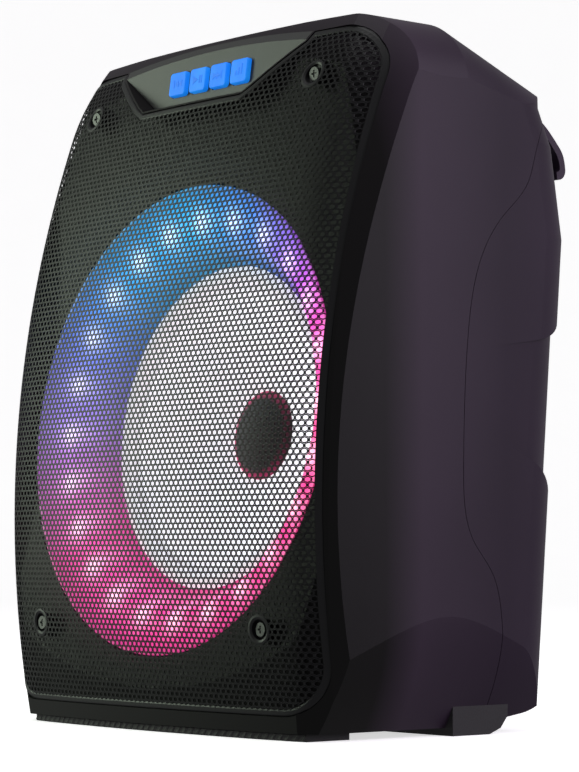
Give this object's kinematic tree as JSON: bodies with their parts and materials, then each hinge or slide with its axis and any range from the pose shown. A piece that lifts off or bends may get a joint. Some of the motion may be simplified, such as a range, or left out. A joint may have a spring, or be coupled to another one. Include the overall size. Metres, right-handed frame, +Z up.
{
  "type": "party speaker",
  "caption": "Free-standing party speaker: bowed perforated grille over a glowing light ring and woofer, recessed control panel, moulded shells, rear carry handle.",
  "frame": {"origin": "on the floor, under the middle of the overall box", "axes": "+Z up, -Y towards the listener, X across the front"},
  "size_m": [0.29, 0.2281, 0.3735],
  "materials": {
    "shell_plastic": "fine satin texture",
    "panel_plastic": "smooth satin",
    "grille_metal": "powder coat, semi-matt",
    "button_plastic": "semi-gloss, lit from behind",
    "ring_diffuser": "milky, lit from behind",
    "led_resin": "clear resin",
    "board_laminate": "solder mask",
    "chip_resin": "matt moulded",
    "screw_steel": "black zinc",
    "cone_paper": "soft matt",
    "cap_paper": "soft matt",
    "surround_rubber": "matt",
    "basket_steel": "satin paint",
    "motor_steel": "zinc plated",
    "ferrite": "matt ceramic",
    "coil_copper": "enamelled wire",
    "spider_cloth": "resin treated cloth",
    "felt": "loose felt",
    "foot_rubber": "matt, ribbed",
    "can_aluminium": "satin",
    "socket_plastic": "satin",
    "socket_steel": "bright nickel",
    "lead_pvc": "smooth sleeve",
    "cell_wrap": "shrink wrap",
    "tray_plastic": "satin"
  },
  "bodies": {
    "cabinet": {"front_shell": "shell_plastic", "rear_shell": "shell_plastic", "carry_handle": "shell_plastic", "front_grille": "grille_metal", "control_panel": "panel_plastic", "tact_switches": "chip_resin", "button_board": "board_laminate", "button_board_posts": "tray_plastic", "light_ring": "ring_diffuser", "led_board": "board_laminate", "leds": "led_resin", "woofer_basket": "basket_steel", "woofer_gasket": "felt", "surround": "surround_rubber", "spider": "spider_cloth", "top_plate": "motor_steel", "magnet": "ferrite", "back_plate": "motor_steel", "woofer_screws": "screw_steel", "grille_screws": "screw_steel", "shell_screws": "screw_steel", "handle_screws": "screw_steel", "front_foot": "foot_rubber", "rear_feet": "foot_rubber", "bass_port": "tray_plastic", "rear_panel": "panel_plastic", "dc_jack": "socket_plastic", "usb_socket": "socket_steel", "aux_jack": "socket_plastic", "mic_jack": "socket_plastic", "mic_jack_nut": "socket_steel", "rocker_housing": "socket_plastic", "rear_panel_screws": "screw_steel", "main_board": "board_laminate", "board_screws": "screw_steel", "heat_sink": "can_aluminium", "capacitors": "can_aluminium", "board_chips": "chip_resin", "bluetooth_module": "socket_steel", "lead_plug": "cone_paper", "terminal_strip": "tray_plastic", "speaker_leads": "lead_pvc", "battery_tray": "tray_plastic", "battery_lid": "tray_plastic", "battery_cells": "cell_wrap", "damping_pads": "felt"},
    "woofer_cone": {"cone": "cone_paper", "dust_cap": "cap_paper", "voice_coil": "coil_copper"},
    "power_rocker": {"power_rocker": "socket_plastic"},
    "button_1": {"button_1": "button_plastic"},
    "button_2": {"button_2": "button_plastic"},
    "button_3": {"button_3": "button_plastic"},
    "button_4": {"button_4": "button_plastic"}
  },
  "joints": [
    {"name": "button_1_press", "type": "slide", "parent": "cabinet", "child": "button_1", "axis": [0, 0.9903, -0.1392], "range_m": [0, 0.0008], "stiffness_N_per_m": 1500},
    {"name": "button_2_press", "type": "slide", "parent": "cabinet", "child": "button_2", "axis": [0, 0.9903, -0.1392], "range_m": [0, 0.0008], "stiffness_N_per_m": 1500},
    {"name": "button_3_press", "type": "slide", "parent": "cabinet", "child": "button_3", "axis": [0, 0.9903, -0.1392], "range_m": [0, 0.0008], "stiffness_N_per_m": 1500},
    {"name": "button_4_press", "type": "slide", "parent": "cabinet", "child": "button_4", "axis": [0, 0.9903, -0.1392], "range_m": [0, 0.0008], "stiffness_N_per_m": 1500},
    {"name": "power_rock", "type": "hinge", "parent": "cabinet", "child": "power_rocker", "pos_m": [-0.0378, 0.0708, 0.10007], "axis": [1, 0, 0], "range_deg": [0, 16]},
    {"name": "cone_travel", "type": "slide", "parent": "cabinet", "child": "woofer_cone", "axis": [0, 0.9925, -0.1219], "range_m": [-0.003, 0.003], "stiffness_N_per_m": 1250, "deforming": ["surround", "spider"]}
  ]
}
